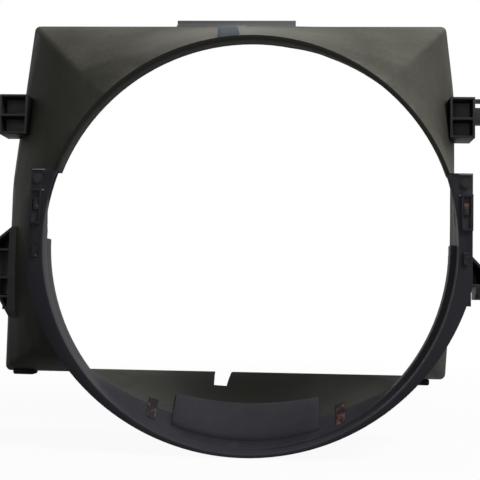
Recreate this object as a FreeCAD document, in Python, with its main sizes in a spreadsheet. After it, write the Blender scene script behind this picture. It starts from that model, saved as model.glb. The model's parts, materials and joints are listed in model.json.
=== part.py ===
import FreeCAD, Part
import math
import os
import re

import Sketcher

from FreeCAD import Placement, Rotation, Vector

# Two-piece radiator fan shroud.
# The origin is the centre of the fan opening, in the plane of its engine-side edge.
# +Y points along the fan's axis towards the radiator, +Z up, +X to the right as the
# engine sees it.  All sizes are in millimetres.

os.makedirs("parts", exist_ok=True)
doc = FreeCAD.newDocument("radiator_fan_shroud")

# ---------------------------------------------------------------- driving sizes

SIZES = {
    # fan opening and its collar
    "opening_radius": 259.5,
    "collar_wall": 2.5,
    "collar_depth": 30.0,
    "collar_depth_right": 7.0,
    "land_length": 20.0,
    "land_relief": 0.8,
    "collar_slope_start": 50.0,
    "collar_slope_end": 165.0,
    "collar_end": 89.0,
    "bead_height": 2.0,
    "bead_depth": 5.0,
    # funnel from the collar to the radiator
    "wall": 3.5,
    "funnel_start": 5.0,
    "collar_back_left": 25.0,
    "shoulder_depth": 46.0,
    "shoulder_share": 0.31,
    "flank_depth": 95.0,
    "flank_share": 0.74,
    "skirt_start": 138.0,
    "rim_depth": 150.0,
    "rim_left": 345.0,
    "rim_right": 276.5,
    "rim_top": 318.0,
    "rim_bottom": 172.0,
    "left_taper": 24.0,
    "left_taper_start": 88.0,
    "right_taper": 12.5,
    "right_taper_start": 210.0,
    "right_flare": 11.0,
    "right_flare_end": 10.0,
    "bottom_lean": 3.5,
    "rim_corner": 8.0,
    "taper_bend": 320.0,
    # lower shroud
    "part_plane": 46.0,
    "joint_height": 4.0,
    "joint_depth": 25.0,
    "joint_taper_low": 13.0,
    "joint_taper_high": 55.0,
    "throat_bead": 1.5,
    "throat_shift": 4.0,
    "throat_rise": 1.0,
    "throat_start": 28.0,
    "lip_radius": 287.0,
    "lip_half_width": 276.0,
    "lip_rise": 24.0,
    "lip_shift": 1.5,
    "lip_thickness": 3.5,
    "arm_top": 91.0,
    "arm_collar_depth": 3.8,
    "arm_rear_rib": 9.0,
    "tab_width": 186.0,
    "tab_depth": 29.0,
    "tab_root": 10.0,
    "tab_wall": 2.5,
    # clearances
    "fit_gap": 0.3,
    "slide_gap": 0.5,
    "seam_gap": 3.5,
    # latches that hold the two halves together
    "post_reach": 264.8,
    "post_width": 6.0,
    "post_height": 12.0,
    "post_front": 2.0,
    "post_length": 62.0,
    "upper_latch_height": 46.0,
    "lower_latch_height": -14.0,
    "clip_sheet": 1.0,
    "clip_leg": 14.0,
    "housing_top": 65.0,
    "housing_bottom": 20.0,
    "housing_reach": 262.0,
    "housing_proud": 3.5,
    "housing_rim": 3.0,
    "housing_floor": 1.2,
    # push pins at the arms' tops
    "pin_reach": 267.0,
    "pin_height": 78.0,
    "pin_hole_radius": 3.8,
    "grommet_radius": 3.5,
    "grommet_flange_radius": 6.5,
    "grommet_flange": 1.2,
    "grommet_length": 16.0,
    "pin_bore_radius": 1.9,
    "pin_radius": 1.6,
    "pin_head_radius": 4.5,
    "pin_head": 1.5,
    "pin_length": 15.0,
    "lug_inner": 258.5,
    "lug_outer": 275.5,
    "lug_bottom": 64.0,
    # bottom panel
    "notch_left": 50.0,
    "notch_root_left": 47.0,
    "notch_root_right": 30.0,
    "notch_right": 25.0,
    "notch_front": 106.0,
    "seam_clip_offset": 120.0,
    "seam_clip_width": 11.0,
    "seam_clip_reach": 10.0,
    "seam_clip_back": 12.0,
    # upper brackets
    "block_top": 206.0,
    "block_bottom": 151.0,
    "block_front": 84.0,
    "block_back": 126.0,
    "left_block_inner": 312.0,
    "left_block_outer": 351.0,
    "right_block_inner": 262.0,
    "right_block_outer": 294.5,
    "block_wall": 3.0,
    "block_rib": 177.0,
    "pocket_depth": 24.0,
    "link_top": 206.0,
    "link_bottom": 172.0,
    "link_front": 96.0,
    "link_thickness": 12.0,
    "link_length": 42.0,
    "link_rail": 8.0,
    "link_window": 14.0,
    "window_height": 8.0,
    "bolt_offset": 30.0,
    "sleeve_radius": 6.5,
    "bolt_hole_radius": 4.25,
    "sleeve_proud": 0.5,
    # lower brackets
    "left_gusset_wall": 318.0,
    "right_gusset_wall": 262.0,
    "left_gusset_start": 329.0,
    "right_gusset_start": 273.5,
    "left_gusset_top": 24.0,
    "right_gusset_top": 15.0,
    "left_gusset_bottom": -100.0,
    "right_gusset_bottom": -84.0,
    "left_gusset_tip_top": -16.0,
    "right_gusset_tip_top": -22.0,
    "slot_start": 15.0,
    "gusset_shelf": -46.0,
    "gusset_rib": -8.0,
    "gusset_shelf_foot": -72.0,
    "slot_width": 8.0,
    "hook_width": 9.0,
    "hook_bottom": -63.0,
    "gusset_front": 92.0,
    "gusset_back": 132.0,
    "gusset_web": 3.5,
    # mounting flanges and rivets of all four brackets
    "flange_front": 124.0,
    "flange_thickness": 4.0,
    "rivet_depth": 144.0,
    "rivet_margin": 10.0,
    "flange_inset": 10.0,
    "rivet_radius": 2.4,
    "rivet_head_radius": 4.5,
    "rivet_head": 1.6,
    "rivet_tail": 2.0,
    # top strip and harness clip
    "strip_left": 116.0,
    "strip_right": 54.0,
    "strip_base": 2.0,
    "strip_height": 10.5,
    "strip_depth": 11.0,
    "strip_wall": 3.0,
    "strip_bead": 1.6,
    "harness_left": 43.5,
    "harness_width": 26.0,
    "harness_front": 6.5,
    "harness_depth": 34.0,
    "harness_top": 277.0,
    "harness_corner": 4.0,
    "harness_throat_radius": 4.5,
    "pad_left": 47.0,
    "pad_right": 12.0,
    "pad_height": 1.2,
    "pad_front": 31.0,
    # rubber feet
    "left_foot_centre": -316.5,
    "right_foot_centre": 228.5,
    "foot_width": 29.0,
    "foot_height": 8.0,
    "foot_front": 128.0,
    "foot_depth": 20.0,
    "foot_corner": 3.0,
    "peg_width": 12.0,
    "peg_height": 5.0,
    "peg_depth": 10.0,
}

sheet = doc.addObject("Spreadsheet::Sheet", "Sizes")
for row, (name, value) in enumerate(SIZES.items(), start=1):
    sheet.set("A%d" % row, name.replace("_", " "))
    sheet.set("B%d" % row, str(value))
    sheet.setAlias("B%d" % row, name)
doc.recompute()


def size(name):
    """The value of one driving size."""
    return float(sheet.get(name))


def formula(text):
    """Write the driving sizes in a formula the way the document names them."""
    return re.sub(r"[a-z_]+", lambda word: "Sizes." + word.group(0), str(text))


def sheet_value(text):
    """Work a formula of the driving sizes out as a number."""
    scratch = doc.getObject("Scratch") or doc.addObject("App::FeaturePython", "Scratch")
    if not hasattr(scratch, "Answer"):
        scratch.addProperty("App::PropertyFloat", "Answer")
    scratch.setExpression("Answer", formula(text))
    doc.recompute([scratch])
    return float(scratch.Answer)


# ---------------------------------------------------------------- primitives

def bind(feature, **values):
    """Bind properties of a feature to formulas in the driving sizes."""
    for prop, text in values.items():
        feature.setExpression(prop, formula(text))


def place(feature, x, y, z):
    """Bind a feature's position to three formulas."""
    for axis, text in zip("xyz", (x, y, z)):
        feature.setExpression("Placement.Base." + axis, formula(text))


def slab(name, side, near, far, front, back, bottom, top):
    """A box between two distances from the middle plane, on the left (-1) or right (+1)."""
    box = doc.addObject("Part::Box", name)
    bind(box, Length="(%s) - (%s)" % (far, near), Width="(%s) - (%s)" % (back, front))
    bind(box, Height="(%s) - (%s)" % (top, bottom))
    place(box, near if side > 0 else "-(%s)" % far, front, bottom)
    return box


def rod(name, radius, length, x, y, z, along="y"):
    """A cylinder that runs along +Y or +X from the given point."""
    cylinder = doc.addObject("Part::Cylinder", name)
    turns = {"y": Rotation(Vector(1, 0, 0), -90), "x": Rotation(Vector(0, 1, 0), 90)}
    cylinder.Placement = Placement(Vector(), turns[along])
    bind(cylinder, Radius=radius, Height=length)
    place(cylinder, x, y, z)
    return cylinder


def join(name, pieces):
    """One solid from several that touch or overlap."""
    fusion = doc.addObject("Part::MultiFuse", name)
    fusion.Shapes = pieces
    fusion.Refine = True
    return fusion


def carve(name, base, tools):
    """A solid with other solids taken away from it."""
    cut = doc.addObject("Part::Cut", name)
    cut.Base = base
    cut.Tool = tools[0] if len(tools) == 1 else join(name + "_tools", tools)
    cut.Refine = True
    return cut


def signed(side, text):
    """The formula with the sign of the side it lies on."""
    return text if side > 0 else "-(%s)" % text


SIDES = (("left", -1), ("right", 1))
nodes = []


def node(feature, label):
    """Name a finished sub-part, which also names its file."""
    feature.Label = label
    nodes.append(feature)
    return feature


# ---------------------------------------------------------------- funnel surface

def leaning_side(foot, head):
    """Normal angle and distance of a side that passes through two points, going round."""
    along = head - foot
    normal = math.atan2(-along.x, along.z)
    return normal, foot.x * math.cos(normal) + foot.z * math.sin(normal)


def rim_sides(inset):
    """Normal angle and distance of the rim's seven sides, moved inwards by inset."""
    top, bottom = size("rim_top"), size("rim_bottom")
    left, right = size("rim_left"), size("rim_right")
    shoulder = Vector(right, 0, size("right_taper_start"))
    right_head = Vector(right - size("right_taper"), 0, top)
    right_bend = Vector(right, 0, size("right_flare_end"))
    right_foot = Vector(right - size("right_flare"), 0, -bottom)
    left_bend = Vector(-left, 0, size("left_taper_start"))
    left_head = Vector(-left + size("left_taper"), 0, top)
    left_foot = Vector(-left, 0, -bottom - size("bottom_lean"))
    sides = [
        (0.0, right),
        leaning_side(shoulder, right_head),
        (math.pi / 2, top),
        leaning_side(left_head, left_bend),
        (math.pi, left),
        leaning_side(left_foot, right_foot),
        leaning_side(right_foot, right_bend),
    ]
    return [(angle, distance - inset) for angle, distance in sides]


def corner_point(first, second):
    """Where two neighbouring sides meet, in the XZ plane."""
    (a, p), (b, q) = first, second
    turn = math.sin(b - a)
    x = (p * math.sin(b) - q * math.sin(a)) / turn
    z = (q * math.cos(a) - p * math.cos(b)) / turn
    return Vector(x, 0, z)


def rim_arcs(inset):
    """Tangent arcs that round the rim's corners: centre, radius, start and end angle."""
    sides = rim_sides(inset)
    bend, corner_radius = size("taper_bend"), size("rim_corner")
    radii = (bend, corner_radius, corner_radius, bend, corner_radius, corner_radius, bend)
    arcs = []
    for index in range(len(sides)):
        first, second = sides[index], sides[(index + 1) % len(sides)]
        angle = (second[0] - first[0]) % (2 * math.pi)
        radius = radii[index] - inset
        corner = corner_point(first, second)
        back = radius * math.tan(angle / 2)
        start = corner - Vector(-math.sin(first[0]), 0, math.cos(first[0])) * back
        end = corner + Vector(-math.sin(second[0]), 0, math.cos(second[0])) * back
        centre = start - Vector(math.cos(first[0]), 0, math.sin(first[0])) * radius
        arcs.append((centre, radius, math.atan2(start.z, start.x), math.atan2(end.z, end.x)))
    return arcs


def rim_reach(angle, sides, arcs):
    """Distance from the fan's axis to the rim's outline in one direction."""
    ray = Vector(math.cos(angle), 0, math.sin(angle))
    for centre, radius, start, end in arcs:
        width = (end - start) % (2 * math.pi)
        if (angle - start) % (2 * math.pi) <= width:
            along = ray.dot(centre)
            return along + math.sqrt(radius ** 2 - centre.dot(centre) + along ** 2)
    facing = [(math.cos(angle - normal), reach) for normal, reach in sides]
    return min(reach / cosine for cosine, reach in facing if cosine > 1e-6)


def section_angles():
    """Directions of a section's points, closer together round the rim's four corners."""
    sides = rim_sides(0.0)
    corners = []
    for index in (1, 2, 4, 5):
        corner = corner_point(sides[index], sides[(index + 1) % len(sides)])
        corners.append(math.degrees(math.atan2(corner.z, corner.x)) % 360)
    near = (-4.5, -2.8, -1.8, -1.2, -0.8, -0.4, 0.0, 0.4, 0.8, 1.2, 1.8, 2.8, 4.5)
    angles = [corner + step for corner in corners for step in near]
    for step in range(0, 360, 5):
        if all(abs(step - corner) > 6.5 for corner in corners):
            angles.append(float(step))
    return sorted(angles)


def collar_back(angle):
    """Depth at which the funnel leaves the collar: at once on the right, later elsewhere."""
    turn = math.cos(angle - math.radians(15))
    hold = min(max((0.92 - turn) / 0.5, 0.0), 1.0)
    hold = hold * hold * (3 - 2 * hold)
    front = size("funnel_start")
    return front + (size("collar_back_left") - front) * hold


def funnel_share(angle, depth):
    """How far the funnel has opened from the ring to the rim at one direction and depth."""
    marks = [
        (collar_back(angle), 0.0),
        (size("shoulder_depth"), size("shoulder_share")),
        (size("flank_depth"), size("flank_share")),
        (size("skirt_start"), 1.0),
    ]
    chords = []
    for (low, share), (high, next_share) in zip(marks, marks[1:]):
        chords.append((next_share - share) / (high - low))
    slopes = [0.0, (chords[0] + chords[1]) / 2, (chords[1] + chords[2]) / 2, chords[2] / 2]
    for index in range(3):
        low, share = marks[index]
        high, next_share = marks[index + 1]
        if depth <= high:
            part = min(max((depth - low) / (high - low), 0.0), 1.0)
            rest = 1.0 - part
            lean = slopes[index] * rest - slopes[index + 1] * part
            level = share * rest ** 2 * (1 + 2 * part) + next_share * part ** 2 * (1 + 2 * rest)
            return level + (high - low) * part * rest * lean
    return 1.0


def section(depth, inset):
    """One closed section of the funnel as a smooth curve."""
    sides = rim_sides(inset)
    arcs = rim_arcs(inset)
    ring = size("opening_radius") + size("wall") + size("fit_gap") - inset
    angles = section_angles()
    points = []
    for degrees in angles:
        angle = math.radians(degrees)
        share = funnel_share(angle, depth)
        out = ring + (rim_reach(angle, sides, arcs) - ring) * share
        points.append(Vector(out * math.cos(angle), depth, out * math.sin(angle)))
    curve = Part.BSplineCurve()
    curve.interpolate(Points=points, PeriodicFlag=True, Parameters=angles + [angles[0] + 360])
    return Part.Wire([curve.toShape()])


FUNNELS = {}


def funnel(inset, overrun=0.0):
    """The space inside the funnel's surface moved inwards by inset, as a solid."""
    if (inset, overrun) in FUNNELS:
        return FUNNELS[(inset, overrun)]
    marks = ("funnel_start", "collar_back_left", "shoulder_depth", "flank_depth",
             "skirt_start")
    steps = (2, 3, 3, 2)
    depths = [size("funnel_start")]
    for low, high, count in zip(marks, marks[1:], steps):
        stride = (size(high) - size(low)) / count
        depths.extend(size(low) + stride * step for step in range(1, count + 1))
    wires = [section(depth, inset) for depth in depths]
    body = Part.makeLoft(wires, True, True)
    skirt_length = size("rim_depth") - size("skirt_start") + overrun
    skirt = Part.Face(wires[-1]).extrude(Vector(0, skirt_length, 0))
    body = body.fuse(skirt)
    if overrun:
        body = body.fuse(Part.Face(wires[0]).extrude(Vector(0, -overrun, 0)))
    FUNNELS[(inset, overrun)] = body
    return body


def layer(outside, inside, zone):
    """The part of the funnel's wall between two insets that lies in a small zone."""
    return funnel(outside, 1.0).common(zone).cut(funnel(inside, 1.0).common(zone))


def tube(outer, inner, front, back):
    """A ring along the fan's axis."""
    axis = Vector(0, 1, 0)
    solid = Part.makeCylinder(outer, back - front, Vector(0, front, 0), axis)
    return solid.cut(Part.makeCylinder(inner, back - front + 2, Vector(0, front - 1, 0), axis))


def disc(radius, front, back):
    """A solid disc round the fan's axis."""
    return Part.makeCylinder(radius, back - front, Vector(0, front, 0), Vector(0, 1, 0))


def block(left, right, front, back, bottom, top):
    """A box between six planes."""
    return Part.makeBox(right - left, back - front, top - bottom, Vector(left, front, bottom))


def both_sides(near, far, front, back, bottom, top):
    """A box and its mirror image on the other side of the fan."""
    right = block(near, far, front, back, bottom, top)
    left = block(-far, -near, front, back, bottom, top)
    return [left, right]


opening = size("opening_radius")
collar_outer = opening + size("collar_wall")
relieved = opening + size("land_relief")
bead_radius = collar_outer + size("bead_height")
rim_depth = size("rim_depth")
part_plane = size("part_plane")
gap = size("fit_gap")
reach = 2 * size("rim_left")
funnel_outer = funnel(0.0)
funnel_inner = funnel(size("wall"))
envelope = funnel(-gap, 1.0)


# ---------------------------------------------------------------- latches of both halves

LATCHES = {"arm": size("upper_latch_height"), "lip": size("lower_latch_height")}
post_near = size("post_reach")
post_far = post_near + size("post_width")
post_half = size("post_height") / 2
sheet_metal = size("clip_sheet")
window_margin = sheet_metal + 2 * gap
pin_z = size("pin_height")


def latch_posts():
    """The posts of the upper shroud that pass through the lower shroud's windows."""
    posts = []
    back = size("post_length")
    for height in LATCHES.values():
        posts += both_sides(post_near, post_far, -size("post_front"), back,
                            height - post_half, height + post_half)
    return posts


def latch_windows(front, back):
    """The windows of the lower shroud round those posts and their spring clips."""
    windows = []
    for height in LATCHES.values():
        windows += both_sides(post_near - gap, post_far + gap, front, back,
                              height - post_half - window_margin,
                              height + post_half + window_margin)
    return windows


def flange_spans(word):
    """Lower and upper ends of the bracket flanges on one side: upper, then lower bracket."""
    return (("block_bottom + flange_inset", "block_top"),
            ("%s_gusset_bottom + flange_inset" % word,
             "%s_gusset_top - flange_inset" % word))


# ---------------------------------------------------------------- upper shroud

def upper_shroud():
    """The large moulding: rim, funnel, and the upper part of the collar."""
    shell = funnel_outer.cut(funnel_inner)
    seam_radius = collar_outer + size("seam_gap")
    collar = tube(collar_outer, opening, 0, size("collar_depth"))
    bead = tube(bead_radius, opening, 0, size("bead_depth"))
    ring = collar.fuse(bead)
    ring = ring.cut(block(-reach, reach, -1, rim_depth, -reach, size("collar_end")))
    ring = ring.cut(disc(relieved, size("land_length"), rim_depth))
    depth, shallow = size("collar_depth"), size("collar_depth_right")
    slope_end = size("collar_slope_end")
    back_outline = [
        Vector(size("collar_slope_start"), depth, 0),
        Vector(slope_end, shallow, 0),
        Vector(reach, shallow, 0),
        Vector(reach, depth + 1, 0),
        Vector(size("collar_slope_start"), depth + 1, 0),
    ]
    behind = Part.Face(Part.makePolygon(back_outline + back_outline[:1]))
    ring = ring.cut(behind.extrude(Vector(0, 0, reach)))
    clearance = disc(seam_radius, -1, part_plane + gap)
    clearance = clearance.cut(block(-reach, reach, -2, rim_depth, size("collar_end"), reach))
    below = block(-reach, reach, -1, part_plane + gap, -reach, -size("rim_bottom"))
    shell = shell.cut([clearance, below])

    lug_front = size("lip_thickness") + gap
    lugs = both_sides(size("lug_inner"), size("lug_outer"), lug_front, size("post_length"),
                      size("lug_bottom"), size("arm_top"))
    collar_room = disc(collar_outer + size("slide_gap"), -size("post_front") - 1, part_plane)
    supports = [solid.cut(funnel_inner).cut(collar_room) for solid in lugs + latch_posts()]

    pad = funnel(-size("pad_height"), 1.0).common(
        block(-size("pad_left"), -size("pad_right"), size("pad_front"),
              rim_depth - size("strip_depth") - 1, 0, reach))
    pad = pad.cut(funnel_inner)

    pegs = []
    for centre in (size("left_foot_centre"), size("right_foot_centre")):
        half = size("peg_width") / 2
        front = size("foot_front") + (size("foot_depth") - size("peg_depth")) / 2
        bottom = -size("rim_bottom") - size("peg_height")
        pegs.append(block(centre - half, centre + half, front, front + size("peg_depth"),
                          bottom, -size("rim_bottom") + 1))

    shape = shell.fuse([ring] + supports + [pad] + pegs)
    tools = []
    for side in (-1, 1):
        centre = Vector(side * size("pin_reach"), lug_front - 1, pin_z)
        depth = size("post_length") + 1
        tools.append(Part.makeCylinder(size("pin_hole_radius"), depth, centre,
                                       Vector(0, 1, 0)))
    for word, side in SIDES:
        for bottom, top in flange_spans(word):
            for text in (bottom + " + rivet_margin", top + " - rivet_margin"):
                start = Vector(0, size("rivet_depth"), sheet_value(text))
                tools.append(Part.makeCylinder(size("rivet_radius"), reach, start,
                                               Vector(side, 0, 0)))
    back = rim_depth + 1
    corners = [
        Vector(-size("notch_root_left"), size("notch_front"), -reach),
        Vector(-size("notch_root_right"), size("notch_front"), -reach),
        Vector(-size("notch_right"), back, -reach),
        Vector(-size("notch_left"), back, -reach),
    ]
    notch = Part.Face(Part.makePolygon(corners + corners[:1]))
    notch = notch.extrude(Vector(0, 0, reach - size("rim_bottom") / 2))
    return shape.cut(tools + [notch])


# ---------------------------------------------------------------- lower shroud

def joint_profile():
    """The side outline that the lower half keeps: full depth below, tapered up the arms."""
    front = -1.0
    back = part_plane + 1.0
    top = size("collar_end") - size("slide_gap")
    joint = size("joint_height")
    points = [
        Vector(-reach, front, -reach),
        Vector(-reach, back, -reach),
        Vector(-reach, back, joint),
        Vector(-reach, size("joint_depth"), joint),
        Vector(-reach, size("joint_depth"), size("joint_taper_low")),
        Vector(-reach, size("arm_collar_depth"), size("joint_taper_high")),
        Vector(-reach, size("arm_collar_depth"), top),
        Vector(-reach, front, top),
    ]
    face = Part.Face(Part.makePolygon(points + points[:1]))
    return face.extrude(Vector(2 * reach, 0, 0))


def lower_shroud():
    """The removable lower half: collar, crescent floor, lip, arms and tab."""
    outer = disc(collar_outer, 0, part_plane).common(funnel(0.0, 8.0))
    back = part_plane + 1
    radius = opening - size("throat_bead")
    centre = Vector(-size("throat_shift"), -1, size("throat_rise"))
    throat = Part.makeCylinder(radius, back + 1, centre, Vector(0, 1, 0))
    bore = disc(opening, -1, back).fuse(disc(relieved, size("land_length"), back))
    inner = bore.common(funnel(size("wall"), 8.0))
    deep = inner.common(block(-reach, reach, size("throat_start"), back, -reach, reach))
    inner = inner.common(block(-reach, reach, -1, size("throat_start"), -reach, reach))
    inner = inner.fuse(deep.common(throat))
    half = outer.cut(inner).common(joint_profile())

    lip_centre = Vector(-size("lip_shift"), 0, size("lip_rise"))
    lip = Part.makeCylinder(size("lip_radius"), size("lip_thickness"), lip_centre,
                            Vector(0, 1, 0))
    half_width = size("lip_half_width")
    lip = lip.common(block(-half_width, half_width, -1, 10, -reach, size("arm_top")))
    lip = lip.cut(disc(opening, -1, rim_depth))
    arm_room = disc(bead_radius + size("slide_gap"), -1, rim_depth)
    arm_room = arm_room.common(block(-reach, reach, -1, rim_depth,
                                     size("collar_end") - size("slide_gap"), reach))
    lip = lip.cut(arm_room)

    housings = both_sides(size("housing_reach"), half_width, -size("housing_proud"), 0,
                          size("housing_bottom"), size("housing_top"))
    rim = size("housing_rim")
    hollows = both_sides(size("housing_reach") + rim - 1, half_width - rim,
                         -size("housing_proud") - 1, -size("housing_floor"),
                         size("housing_bottom") + rim, size("housing_top") - rim)
    ribs = both_sides(half_width - rim, half_width, 0, size("arm_rear_rib"),
                      -size("lip_rise"), size("lug_bottom") - 2)

    tab_half = size("tab_width") / 2
    tab_outer = size("wall") + gap
    tab_inner = tab_outer + size("tab_wall")
    tab_zone = block(-tab_half, tab_half, part_plane - size("tab_root"),
                     part_plane + size("tab_depth"), -reach, -size("rim_bottom") / 2)
    root_zone = block(-tab_half, tab_half, part_plane - size("tab_root"), part_plane,
                      -reach, -size("rim_bottom") / 2)
    bounds = disc(collar_outer, 0, rim_depth)
    tab = layer(tab_outer, tab_inner, tab_zone.common(bounds))
    root = layer(0.0, tab_inner, root_zone.common(bounds))

    shape = half.fuse([lip] + housings + ribs + [tab, root])
    tools = hollows + latch_windows(-reach, reach)
    for side in (-1, 1):
        centre = Vector(side * size("pin_reach"), -1, pin_z)
        tools.append(Part.makeCylinder(size("pin_hole_radius"), 10, centre, Vector(0, 1, 0)))
        middle = side * size("seam_clip_offset")
        half_slot = size("seam_clip_width") / 2 + gap
        tools.append(block(middle - half_slot, middle + half_slot,
                           part_plane - sheet_metal - 2 * gap, part_plane + 1,
                           -reach, -size("rim_bottom") / 2))
    return shape.cut(tools)


def moulding(label, shape):
    """A sub-part whose freeform shape is made in code."""
    feature = doc.addObject("Part::Feature", label)
    feature.Shape = shape
    feature.Placement = Placement()
    return node(feature, label)


moulding("upper_shroud", upper_shroud())
moulding("lower_shroud", lower_shroud())

# ---------------------------------------------------------------- seam clips

def seam_clip(side):
    """A folded steel clip on the lower half's rear edge, its tongue over the seam."""
    metal = sheet_metal
    middle = side * size("seam_clip_offset")
    half = size("seam_clip_width") / 2
    front = part_plane - size("seam_clip_back")
    rear = part_plane - gap
    tongue_end = part_plane + size("seam_clip_reach")
    below = -size("rim_bottom") / 2
    inside = size("wall") + gap

    def zone(start, end):
        return block(middle - half, middle + half, start, end, -reach, below)

    over = layer(inside, inside + metal, zone(front, tongue_end))
    under = layer(-gap - metal, -gap, zone(front, rear))
    web = layer(-gap - metal, inside + metal, zone(rear - metal, rear))
    return over.fuse([under, web])


for word, side in SIDES:
    moulding("bottom_%s_clip" % word, seam_clip(side))

# ---------------------------------------------------------------- latch clips

CLIP_NAMES = {"arm": "upper_latch_height", "lip": "lower_latch_height"}


def latch_clip(word, side, level):
    """A folded steel clip that hugs one latch post from the engine side."""
    height = CLIP_NAMES[level]
    name = "%s_%s_latch" % (word, level)
    near, far = "post_reach", "post_reach + post_width"
    inner = "post_height / 2 + fit_gap"
    outer = "post_height / 2 + fit_gap + clip_sheet"
    front = "-(post_front + fit_gap + clip_sheet)"
    behind = "-(post_front + fit_gap)"
    face = slab(name + "_face", side, near, far, front, behind,
                "%s - (%s)" % (height, outer), "%s + (%s)" % (height, outer))
    upper = slab(name + "_upper_leg", side, near, far, behind, "clip_leg",
                 "%s + (%s)" % (height, inner), "%s + (%s)" % (height, outer))
    lower = slab(name + "_lower_leg", side, near, far, behind, "clip_leg",
                 "%s - (%s)" % (height, outer), "%s - (%s)" % (height, inner))
    return node(join(name, [face, upper, lower]), name + "_clip")


for word, side in SIDES:
    for level in CLIP_NAMES:
        latch_clip(word, side, level)

# ---------------------------------------------------------------- push pins

def turned(label, profile, side):
    """A turned piece on a push pin's axis: a PartDesign revolution of radius and depth."""
    body = doc.addObject("PartDesign::Body", label)
    sketch = body.newObject("Sketcher::SketchObject", label + "_profile")
    plane = [part for part in body.Origin.OriginFeatures if part.Role == "XY_Plane"][0]
    sketch.AttachmentSupport = [(plane, "")]
    sketch.MapMode = "FlatFace"
    doc.recompute()
    values = [(sheet_value(r), sheet_value(d)) for r, d in profile]
    count = len(profile)
    for index in range(count):
        here, there = values[index], values[(index + 1) % count]
        start = Vector(here[0], here[1], 0)
        end = Vector(there[0], there[1], 0)
        sketch.addGeometry(Part.LineSegment(start, end), False)
    constrain = Sketcher.Constraint
    for index in range(count):
        sketch.addConstraint(constrain("Coincident", index, 2, (index + 1) % count, 1))
    for index, (radius, depth) in enumerate(profile):
        for kind, text in (("DistanceX", radius), ("DistanceY", depth)):
            value = sheet_value(text)
            number = sketch.addConstraint(constrain(kind, -1, 1, index, 1, value))
            sketch.setExpression("Constraints[%d]" % number, formula(text))
    turn = body.newObject("PartDesign::Revolution", label + "_turn")
    turn.Profile = sketch
    turn.ReferenceAxis = (sketch, ["V_Axis"])
    turn.Angle = 360.0
    place(body, signed(side, "pin_reach"), "0", "pin_height")
    body.Tip = turn
    return node(body, label)


GROMMET = [
    ("pin_bore_radius", "-grommet_flange"),
    ("grommet_flange_radius", "-grommet_flange"),
    ("grommet_flange_radius", "0"),
    ("grommet_radius", "0"),
    ("grommet_radius", "grommet_length"),
    ("pin_bore_radius", "grommet_length"),
]
PIN = [
    ("0", "-grommet_flange - pin_head"),
    ("pin_head_radius", "-grommet_flange - pin_head"),
    ("pin_head_radius", "-grommet_flange"),
    ("pin_radius", "-grommet_flange"),
    ("pin_radius", "pin_length"),
    ("0", "pin_length"),
]

for word, side in SIDES:
    turned("%s_pin_grommet" % word, GROMMET, side)
    turned("%s_push_pin" % word, PIN, side)

# ---------------------------------------------------------------- bracket seats

seat = doc.addObject("Part::Feature", "bracket_seat")
seat.Shape = envelope


def upper_flange(name, side, rim_side):
    """An upper bracket's flange along the rim's side wall."""
    far = "%s + flange_thickness" % rim_side
    near = "%s - left_taper" % rim_side
    return slab(name, side, near, far, "flange_front", "rim_depth",
                "block_bottom + flange_inset", "block_top")


def rivet_holes(name, side, rim_side, bottom, top):
    """Clearance holes for a bracket's two rivets."""
    holes = []
    for mark, height in (("low", "%s + rivet_margin" % bottom),
                         ("high", "%s - rivet_margin" % top)):
        start = signed(side, "%s - left_taper * 2" % rim_side)
        if side < 0:
            start = "-(%s + left_taper * 2)" % rim_side
        holes.append(rod("%s_%s_hole" % (name, mark), "rivet_radius", "left_taper * 4",
                         start, "rivet_depth", height, along="x"))
    return holes


BRACKET_SIDES = {"left": "rim_left", "right": "rim_right"}

# ---------------------------------------------------------------- upper brackets

def upper_bracket(word, side):
    """A pocketed block on the shroud's side with an arm out to its bolt."""
    name = "upper_%s_bracket" % word
    inner = "%s_block_inner" % word
    outer = "%s_block_outer" % word
    rim_side = BRACKET_SIDES[word]
    body = slab(name + "_block", side, inner, outer, "block_front", "block_back",
                "block_bottom", "block_top")
    flange = upper_flange(name + "_flange", side, rim_side)
    link = slab(name + "_link", side, "%s - 1" % outer, "%s + link_length" % outer,
                "link_front", "link_front + link_thickness", "link_bottom", "link_top")
    pocket_near = "%s + block_wall" % inner
    pocket_far = "%s - block_wall" % outer
    pocket_back = "block_front + pocket_depth"
    upper_pocket = slab(name + "_upper_pocket", side, pocket_near, pocket_far,
                        "block_front - 1", pocket_back,
                        "block_rib + block_wall / 2", "block_top - block_wall")
    lower_pocket = slab(name + "_lower_pocket", side, pocket_near, pocket_far,
                        "block_front - 1", pocket_back,
                        "block_bottom + block_wall", "block_rib - block_wall / 2")
    window = slab(name + "_window", side, "%s + link_rail / 4" % outer,
                  "%s + link_rail / 4 + link_window" % outer, "link_front - 1",
                  "link_front + link_thickness + 1",
                  "link_top - link_rail / 2 - window_height", "link_top - link_rail / 2")
    middle = "(link_top + link_bottom) / 2"
    bore = rod(name + "_bore", "sleeve_radius", "link_thickness + 2",
               signed(side, "(%s + bolt_offset)" % outer), "link_front - 1", middle)
    holes = rivet_holes(name, side, rim_side, "block_bottom + flange_inset", "block_top")
    solid = join(name + "_solid", [body, flange, link])
    tools = [upper_pocket, lower_pocket, window, bore, seat] + holes
    return node(carve(name, solid, tools), name)


def sleeve(word, side):
    """The steel sleeve that takes the bolt's load in an upper bracket."""
    name = "upper_%s_sleeve" % word
    outer = "%s_block_outer" % word
    x = signed(side, "(%s + bolt_offset)" % outer)
    middle = "(link_top + link_bottom) / 2"
    barrel = rod(name + "_barrel", "sleeve_radius", "link_thickness + 2 * sleeve_proud",
                 x, "link_front - sleeve_proud", middle)
    hole = rod(name + "_hole", "bolt_hole_radius", "link_thickness + 4 * sleeve_proud",
               x, "link_front - 2 * sleeve_proud", middle)
    return node(carve(name, barrel, [hole]), name)


for word, side in SIDES:
    upper_bracket(word, side)
    sleeve(word, side)

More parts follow.
